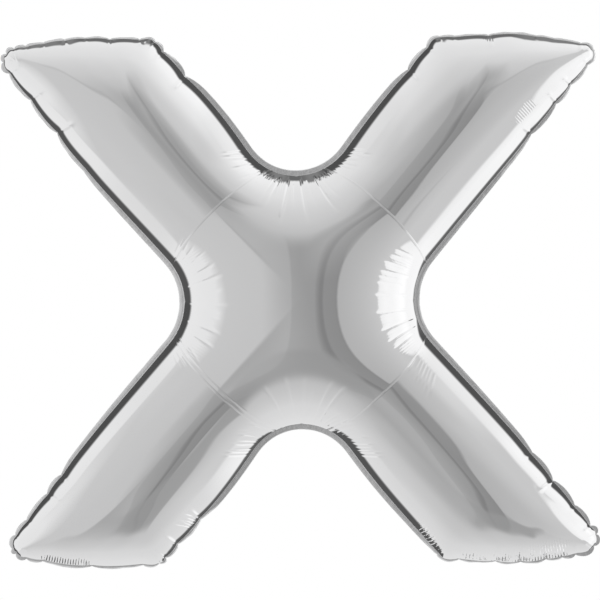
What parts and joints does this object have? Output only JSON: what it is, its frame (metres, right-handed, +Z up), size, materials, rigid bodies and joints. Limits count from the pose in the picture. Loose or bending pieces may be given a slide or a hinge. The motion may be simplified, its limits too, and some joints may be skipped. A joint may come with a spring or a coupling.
{
  "type": "letter foil balloon",
  "caption": "Inflated foil balloon in the shape of the letter X, with tube-like arms, a domed middle and a welded seam margin all round.",
  "frame": {"origin": "middle of the letter, in the plane of the welded seam, where the balloon is held in the air", "axes": "+Z up the letter, +X to the reader's right, -Y towards the reader, so the seam lies in the XZ plane"},
  "size_m": [1.0184, 0.2776, 0.9138],
  "materials": {
    "silver_foil": "mirror-bright metallised foil film",
    "seam_foil": "heat-welded metallised foil, slightly crinkled",
    "clear_film": "clear thin film"
  },
  "bodies": {
    "root": {"front_film_centre": "silver_foil", "front_film_upper_left_arm": "silver_foil", "front_film_upper_right_arm": "silver_foil", "front_film_lower_left_arm": "silver_foil", "front_film_lower_right_arm": "silver_foil", "back_film_centre": "silver_foil", "back_film_upper_left_arm": "silver_foil", "back_film_upper_right_arm": "silver_foil", "back_film_lower_left_arm": "silver_foil", "back_film_lower_right_arm": "silver_foil", "seam_flange": "seam_foil", "filling_neck": "seam_foil", "valve_sleeve": "clear_film"}
  },
  "joints": []
}
